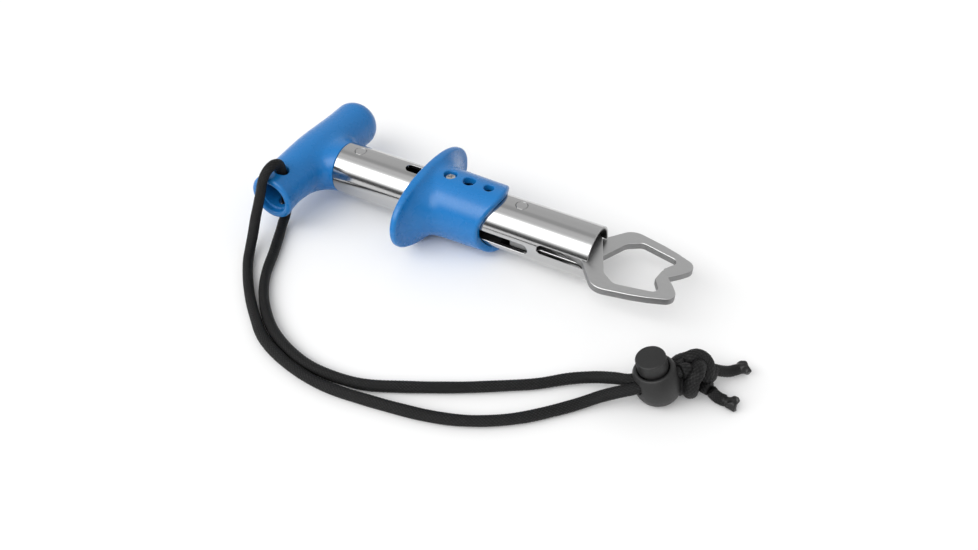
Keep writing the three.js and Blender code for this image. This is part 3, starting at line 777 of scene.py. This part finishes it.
COLLAR_REAR = 40.4
FLANGE_HALF_WIDTH, FLANGE_HALF_HEIGHT = 29.7, 16.2
FLANGE_THICKNESS = 3.0
SCALLOP_DEEPEST = 71.4  # where the sleeve ends at its sides
SCALLOP_DEPTH = 4.9  # that it reaches further at its top and bottom
SLEEVE_R = 14.65
SLEEVE_TAPER = 0.5  # that its radius loses over the taper's length
TAPER_FROM, TAPER_LENGTH = 50, 24
SLEEVE_CLEARANCE = 0.16
# The fillet between flange and sleeve is wider at the sides.
FILLET_R, FILLET_SPREAD, FILLET_POWER = 2.8, 9.4, 0.75
SCREW_X = 51.8
SCREW_HOLE_R = 1.8
COUNTERBORE_R, COUNTERBORE_FLOOR = 2.75, 11.9
COLLAR_HOLES = ((60.5, 2.6), (69.4, 2.1))


def oval(y, z, half_width, half_height, power):
    """About the distance outside an oval of any squareness."""
    reach = ((np.abs(y) / half_width) ** power + (np.abs(z) / half_height) ** power) ** (1 / power)
    reach = np.maximum(reach, 1e-3)
    return np.hypot(y, z) * (1 - 1 / reach)


def collar_field(x, y, z):
    rho = np.hypot(y, z)
    outline = oval(y, z, FLANGE_HALF_WIDTH, FLANGE_HALF_HEIGHT, 2.2)
    middle = COLLAR_REAR + FLANGE_THICKNESS / 2
    flange = meet(outline, np.abs(x - middle) - FLANGE_THICKNESS / 2, 1.2)
    sideways = y ** 2 / np.maximum(rho ** 2, 1e-6)
    front = SCALLOP_DEEPEST + SCALLOP_DEPTH * (1 - sideways)
    taper = SLEEVE_TAPER * np.clip((x - TAPER_FROM) / TAPER_LENGTH, 0, 1)
    sleeve = meet(rho - SLEEVE_R + taper, x - front, 1.3)
    sleeve = np.maximum(sleeve, middle - x)
    fillet = FILLET_R + FILLET_SPREAD * sideways ** FILLET_POWER
    spread = np.maximum(join(flange, sleeve, fillet), middle - x)
    body = np.minimum(flange, meet(spread, outline, 0.5))
    body = cut(body, rho - TUBE_R - SLEEVE_CLEARANCE, 0.3)
    from_screw = np.hypot(x - SCREW_X, y)
    body = cut(body, from_screw - SCREW_HOLE_R, 0.1)
    body = cut(body, np.maximum(from_screw - COUNTERBORE_R, COUNTERBORE_FLOOR - np.abs(z)), 0.3)
    for hole_x, radius in COLLAR_HOLES:
        body = cut(body, np.maximum(np.hypot(x - hole_x, y) - radius, -z), 0.45)
    return body


moulded(
    "collar_moulding", collar_field, (40, -30, -16.4), (76.6, 30, 16.4), 0.45,
    "blue", "collar", "blue_plastic", ["collar"])

# Screws and pins

SCREW_HEAD_R, SCREW_HEAD_LOW, SCREW_HEAD_TOP = 2.25, 12.2, 13.75
SCREW_HEAD_CROWN = 0.09  # how fast its top falls away from its middle
SHANK_R, SHANK_END = 1.5, 6.5
RECESS_FLOOR = 12.5
RECESS_HALF_WIDTH, RECESS_REACH = 0.36, 1.35
RECESS_ALONG, RECESS_ACROSS = 0.82, 0.57  # the direction of one arm of the cross


def screw_field(x, y, z):
    rho = np.hypot(x - SCREW_X, y)
    head = meet(rho - SCREW_HEAD_R, z - SCREW_HEAD_TOP + SCREW_HEAD_CROWN * rho ** 2, 0.3)
    head = meet(head, SCREW_HEAD_LOW - z, 0.1)
    shank = np.maximum(np.maximum(rho - SHANK_R, SHANK_END - z), z - SCREW_HEAD_LOW - 0.4)
    body = np.minimum(head, shank)
    depth = np.clip(13.7 - z, 0, 2)
    u = (x - SCREW_X) * RECESS_ALONG + y * RECESS_ACROSS
    v = y * RECESS_ALONG - (x - SCREW_X) * RECESS_ACROSS
    for a, b in ((u, v), (v, u)):
        arm = np.maximum(np.abs(a) - RECESS_HALF_WIDTH + 0.1 * depth, np.abs(b) - RECESS_REACH + 0.5 * depth)
        body = cut(body, np.maximum(arm, RECESS_FLOOR - z), 0.06)
    return body


def make_screws():
    """The screw on top, and the same one turned over for the underside."""
    points, faces, normals = surface(
        screw_field, (SCREW_X - 2.3, -2.3, 6.5), (SCREW_X + 2.3, 2.3, 13.8), 0.13)
    for side, turn in (("upper", (1, 1, 1)), ("lower", (1, -1, -1))):
        make_piece(
            f"{side}_screw", points * turn, faces, "plain", "collar", "plain_steel",
            [f"{side}_collar_screw"], normals * turn)


make_screws()

PIN_R = 2.4
PIVOT_X = 84.2


def cross_pin(name, station, replaced):
    def field(x, y, z):
        return meet(np.hypot(x - station, y) - PIN_R, np.hypot(y, z) - TUBE_R, 0.1)

    moulded(
        name, field, (station - 2.5, -2.5, -11.2), (station + 2.5, 2.5, 11.2), 0.28,
        "tube", "frame", "polished_steel", [replaced])


cross_pin("handle_dowel", HANDLE_PIN_X, "handle_pin")
cross_pin("pivot_dowel", PIVOT_X, "pivot_pin")

# Plates: outlines with bevelled edges, for the jaws and for the tube before it is rolled up


def loop_area(loop):
    ahead = np.roll(loop, -1, 0)
    return 0.5 * (loop[:, 0] * ahead[:, 1] - loop[:, 1] * ahead[:, 0]).sum()


def inset(loop, distance):
    """A closed outline moved towards the material, which is on its left."""
    before = loop - np.roll(loop, 1, 0)
    after = np.roll(loop, -1, 0) - loop
    inwards = []
    for edge in (before, after):
        size = np.linalg.norm(edge, axis=1)[:, None]
        inwards.append(np.stack([-edge[:, 1], edge[:, 0]], -1) / size)
    share = 1 + (inwards[0] * inwards[1]).sum(1)[:, None]
    return loop + distance * (inwards[0] + inwards[1]) / np.maximum(share, 0.3)


def plate(loops, low, high, bevel, steps=3):
    """Points and faces of a plate between two heights; the first loop is its outline, the rest its holes."""
    loops = [np.asarray(loop, float) for loop in loops]
    loops = [loop if (loop_area(loop) > 0) == (i == 0) else loop[::-1] for i, loop in enumerate(loops)]
    turns = [(math.pi / 2) * k / steps for k in range(steps + 1)]
    levels = [(bevel * (1 - math.sin(a)), low + bevel * (1 - math.cos(a))) for a in turns]
    levels += [(distance, low + high - height) for distance, height in levels[::-1]]
    points, faces = [], []
    rims = ([], [])
    for loop in loops:
        count = len(loop)
        first = len(points)
        for distance, height in levels:
            points += [(x, y, height) for x, y in inset(loop, distance)]
        for level in range(len(levels) - 1):
            for k in range(count):
                a, b = first + level * count + k, first + level * count + (k + 1) % count
                faces.append((a, b, b + count, a + count))
        rims[0].append(range(first, first + count))
        rims[1].append(range(first + (len(levels) - 1) * count, first + len(levels) * count))
    for rim, turned in zip(rims, (True, False)):
        flat = [index for loop in rim for index in loop]
        for face in tessellate_polygon([[Vector(points[index][:2]) for index in loop] for loop in rim]):
            corners = [flat[index] for index in face]
            a, b, c = (np.array(points[index][:2]) for index in corners)
            left = (b[0] - a[0]) * (c[1] - a[1]) - (b[1] - a[1]) * (c[0] - a[0])
            if (left < 0) != turned:
                corners.reverse()
            faces.append(tuple(corners))
    return np.array(points), faces


def top_outlines(node):
    """The closed outlines of a CAD node's flat top, in millimetres in the tube's frame, the largest first."""
    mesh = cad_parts[node].data
    spots = np.array([tuple(v.co) for v in mesh.vertices])
    spots = (spots - ORIGIN) / MM
    top = spots[:, 2].max()
    merged = {}
    same = [merged.setdefault(tuple(np.round(p, 4)), i) for i, p in enumerate(spots)]
    edges = {}
    for face in mesh.polygons:
        corners = [same[v] for v in face.vertices]
        if all(spots[v][2] > top - 0.01 for v in corners):
            for a, b in zip(corners, corners[1:] + corners[:1]):
                if edges.get(b) and a in edges[b]:
                    edges[b].remove(a)
                else:
                    edges.setdefault(a, []).append(b)
    loops = []
    while any(edges.values()):
        start = next(a for a in edges if edges[a])
        loop = [start]
        while edges.get(loop[-1]):
            onward = edges[loop[-1]].pop()
            if onward == start:
                break
            loop.append(onward)
        loops.append(spots[loop][:, :2])
    return sorted(loops, key=lambda loop: -abs(loop_area(loop)))


JAW_BEVEL = 0.35
JAW_SHARP_FROM = math.radians(28)


def make_jaw(node):
    low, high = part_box(node)
    bottom, top = ((z - ORIGIN[2]) / MM for z in (low.z, high.z))
    points, faces = plate(top_outlines(node), bottom, top, JAW_BEVEL)
    jaw = make_piece(f"{node}_plate", points, faces, "jaw", node, "jaw_steel", [node])
    jaw.data.set_sharp_from_angle(angle=JAW_SHARP_FROM)


make_jaw("upper_jaw")
make_jaw("lower_jaw")

# Tube

TUBE_LENGTH = 117.3
GUIDE_SLOT = (30.6, 73.0, 4.7)
REAR_WINDOW = (62.0, 92.5, 4.8)
REAR_OFFSET = 1.2
JAW_THICKNESS = 3.0
FRONT_WINDOW_FROM = 96.3
FRONT_WINDOW_WIDTH = JAW_THICKNESS + 3 * GAP
FRONT_OFFSET = (JAW_THICKNESS + GAP) / 2
PIN_HOLE_R = PIN_R + 0.13
TUBE_BEVEL = 0.13
SEAM = 45.0  # where the rolled sheet meets itself, in degrees from the top towards +y
SHEET_EDGE = TUBE_R * math.radians(-SEAM)
SHEET_WIDTH = 2 * math.pi * TUBE_R


def arc(centre, radius, start, finish, steps):
    angles = np.radians(np.linspace(start, finish, steps))
    return [(centre[0] + radius * math.cos(a), centre[1] + radius * math.sin(a)) for a in angles]


def slot_outline(start, finish, width, height):
    half = width / 2
    return arc((finish - half, height), half, -90, 90, 17) + arc((start + half, height), half, 90, 270, 17)


def unrolled(degrees, offset=0.0):
    """The height on the flat sheet of a line that is offset further round from a place round the tube."""
    return TUBE_R * (math.radians(degrees) + math.asin(offset / TUBE_R))


def flat_tube():
    """A flat sheet with its slots, rolled up; its height is the way round, from the top towards -y."""
    holes = [
        slot_outline(*GUIDE_SLOT, 0.0),
        slot_outline(*GUIDE_SLOT, unrolled(180)),
        slot_outline(*REAR_WINDOW, unrolled(90, REAR_OFFSET)),
        slot_outline(*REAR_WINDOW, unrolled(270, REAR_OFFSET)),
    ]
    for station in (HANDLE_PIN_X, PIVOT_X):
        for degrees in (0, 180):
            holes.append(arc((station, unrolled(degrees)), PIN_HOLE_R, 0, 351, 40))
    outline = [(0, SHEET_EDGE), (TUBE_LENGTH, SHEET_EDGE)]
    half = FRONT_WINDOW_WIDTH / 2
    for degrees in (90, 270):
        height = unrolled(degrees, -FRONT_OFFSET)
        outline.append((TUBE_LENGTH, height - half))
        outline += arc((FRONT_WINDOW_FROM + half, height), half, 270, 90, 17)
        outline.append((TUBE_LENGTH, height + half))
    outline += [(TUBE_LENGTH, SHEET_EDGE + SHEET_WIDTH), (0, SHEET_EDGE + SHEET_WIDTH)]
    return outline, holes


def rolled_tube():
    outline, holes = flat_tube()
    points, faces = plate([outline, *holes], TUBE_BORE_R, TUBE_R, TUBE_BEVEL, 2)
    # The bevels along the seam go, so that the two edges meet.
    near = np.abs(points[:, 1] - SHEET_EDGE) < 0.2
    points[near, 1] = SHEET_EDGE
    far = np.abs(points[:, 1] - SHEET_EDGE - SHEET_WIDTH) < 0.2
    points[far, 1] = SHEET_EDGE + SHEET_WIDTH
    work = bmesh.new()
    made = [work.verts.new(p) for p in points]
    for face in faces:
        corners = [made[i] for i in face]
        if all(near[i] for i in face) or all(far[i] for i in face):
            continue
        try:
            work.faces.new(corners)
        except ValueError:
            pass
    strips = 144
    for k in range(1, strips):
        at = SHEET_EDGE + SHEET_WIDTH * k / strips
        everything = work.verts[:] + work.edges[:] + work.faces[:]
        bmesh.ops.bisect_plane(work, geom=everything, dist=1e-5, plane_co=(0, at, 0), plane_no=(0, 1, 0))
    for vertex in work.verts:
        x, height, radius = vertex.co
        angle = height / TUBE_R
        vertex.co = (x, -radius * math.sin(angle), radius * math.cos(angle))
    bmesh.ops.remove_doubles(work, verts=work.verts[:], dist=1e-3)
    bmesh.ops.dissolve_degenerate(work, dist=1e-4, edges=work.edges[:])
    bmesh.ops.recalc_face_normals(work, faces=work.faces[:])
    work.verts.ensure_lookup_table()
    work.verts.index_update()
    spots = np.array([tuple(v.co) for v in work.verts])
    listed = [[v.index for v in face.verts] for face in work.faces]
    work.free()
    return spots, listed


tube_points, tube_faces = rolled_tube()
barrel = make_piece("tube_barrel", tube_points, tube_faces, "tube", "frame", "polished_steel", ["tube"])


def round_normals(made):
    """Exact normals on the tube's two round surfaces, and flat ones on its edges."""
    mesh = made.data
    spots = (np.array([tuple(v.co) for v in mesh.vertices]) - ORIGIN) / MM
    radius = np.hypot(spots[:, 1], spots[:, 2])
    outward = np.stack([np.zeros(len(spots)), spots[:, 1] / radius, spots[:, 2] / radius], -1)
    normals = []
    for face in mesh.polygons:
        corners = list(face.vertices)
        reach = radius[corners]
        if (reach > TUBE_R - 0.01).all():
            normals += outward[corners].tolist()
        elif (reach < TUBE_BORE_R + 0.01).all():
            normals += (-outward[corners]).tolist()
        else:
            normals += [tuple(face.normal)] * len(corners)
    mesh.normals_split_custom_set(normals)


round_normals(barrel)

# Springs


def coil(start, length, mean_radius, wire_radius, turns):
    """A coil spring's line along X."""
    t = np.linspace(0, 1, turns * 40 + 1)
    angle = 2 * np.pi * turns * t
    x = start + wire_radius + (length - 2 * wire_radius) * t
    return np.stack([x, mean_radius * np.cos(angle), mean_radius * np.sin(angle)], -1)


spring_low, spring_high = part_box("return_spring")
spring_from = (spring_low.x - ORIGIN[0]) / MM
spring_length = (spring_high.x - spring_low.x) / MM
SPRING_WIRE_R = 0.65
spring_line = coil(spring_from, spring_length, 5.6, SPRING_WIRE_R, 6)
return_spring = make_piece(
    "return_spring_coil", *tube_along(spring_line, SPRING_WIRE_R, 10), "plain", "frame", "plain_steel",
    ["return_spring"])
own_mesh(return_spring)

LOCK_SPRING_LOW = -6.4
LOCK_SPRING_LENGTH = 3.8
LOCK_WIRE_R = 0.3
lock_spring_axes = np.stack([lock_up, lock_along, np.cross(lock_up, lock_along)])
lock_spring_line = coil(LOCK_SPRING_LOW, LOCK_SPRING_LENGTH, 3.9, LOCK_WIRE_R, 2)
lock_spring_line = LOCK_CENTRE + lock_spring_line @ lock_spring_axes
lock_spring = make_piece(
    "lock_spring_coil", *tube_along(lock_spring_line, LOCK_WIRE_R, 8), "plain", "frame", "plain_steel",
    ["cord_lock_spring"])
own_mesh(lock_spring)

# CAD nodes that stay, with finer materials

STAYING = {
    "slider": "acetal",
    "spring_seat": "plain",
    "drive_pin": "plain",
    "upper_pivot_spacer": "plain",
    "lower_pivot_spacer": "plain",
}
for node, material in STAYING.items():
    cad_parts[node].data.materials.clear()
    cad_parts[node].data.materials.append(MATERIALS[material])

# Floor and light

FLOOR_HALF = 4.0
FLOOR_HEIGHT = -0.0002


def make_floor():
    mesh = bpy.data.meshes.new("floor")
    corners = [
        (x * FLOOR_HALF, y * FLOOR_HALF, FLOOR_HEIGHT) for x, y in ((-1, -1), (1, -1), (1, 1), (-1, 1))
    ]
    mesh.from_pydata(corners, [], [(0, 1, 2, 3)])
    mesh.materials.append(new_material("floor", (0.9, 0.9, 0.9), 0.9)[0])
    floor = bpy.data.objects.new("floor", mesh)
    bpy.context.scene.collection.objects.link(floor)


make_floor()

# The room's brightness round the X axis: degrees from straight up towards -y, and how bright it is there.
ROOM = [
    (-180, 0.5), (-95, 0.55), (-80, 0.68), (-30, 0.66), (-17, 0.5), (-9, 0.5), (-1, 0.8), (14, 0.85),
    (24, 0.8), (58, 0.6), (74, 0.3), (80, 0.1), (93, 0.08), (180, 0.4),
]
# A softbox on the -y side adds to it, within a span along X.
SOFTBOX = [(-180, 0), (16, 0), (25, 0.5), (33, 3.6), (56, 3.6), (66, 1.4), (76, 0), (180, 0)]
SOFTBOX_EDGES = ((-0.95, -0.75), (0.15, 0.45))
LIGHT_PEAK = 4.0
PALE = 0.97  # the background's brightness as the camera sees it


def light_ramp(world, share, levels):
    made = add_node(world, "ShaderNodeValToRGB", [(0, share)])
    elements = made.color_ramp.elements
    elements.remove(elements[1])
    elements[0].position = 0
    for degrees, bright in levels:
        at = (degrees + 180) / 360
        element = elements[0] if at == 0 else elements.new(at)
        element.color = (*(bright / LIGHT_PEAK,) * 3, 1)
    return made.outputs[0]


def smooth_step(owner, factor, start, finish):
    made = add_node(owner, "ShaderNodeMapRange", [(0, factor), (1, start), (2, finish)])
    made.interpolation_type = "SMOOTHSTEP"
    return made.outputs[0]


def make_studio():
    world = bpy.data.worlds.new("studio")
    bpy.context.scene.world = world
    world.use_nodes = True
    place = add_node(world, "ShaderNodeTexCoord").outputs["Generated"]
    split = add_node(world, "ShaderNodeSeparateXYZ", [(0, place)])
    towards = math_node(world, "MULTIPLY", split.outputs[1], -1.0)
    angle = math_node(world, "ARCTAN2", towards, split.outputs[2])
    share = spread_between(world, angle, 0.0, 1.0, (-math.pi, math.pi))
    started = smooth_step(world, split.outputs[0], *SOFTBOX_EDGES[0])
    ended = smooth_step(world, split.outputs[0], *SOFTBOX_EDGES[1])
    span = math_node(world, "SUBTRACT", started, ended)
    softbox = math_node(world, "MULTIPLY", light_ramp(world, share, SOFTBOX), span)
    total = math_node(world, "ADD", light_ramp(world, share, ROOM), softbox)
    seen = add_node(world, "ShaderNodeLightPath").outputs["Is Camera Ray"]
    mixed = add_node(world, "ShaderNodeMix", [(0, seen), (2, total), (3, PALE / LIGHT_PEAK)])
    back = world.node_tree.nodes["Background"]
    world.node_tree.links.new(mixed.outputs[0], back.inputs["Color"])
    back.inputs["Strength"].default_value = LIGHT_PEAK


make_studio()
bpy.context.scene.view_settings.view_transform = "Standard"
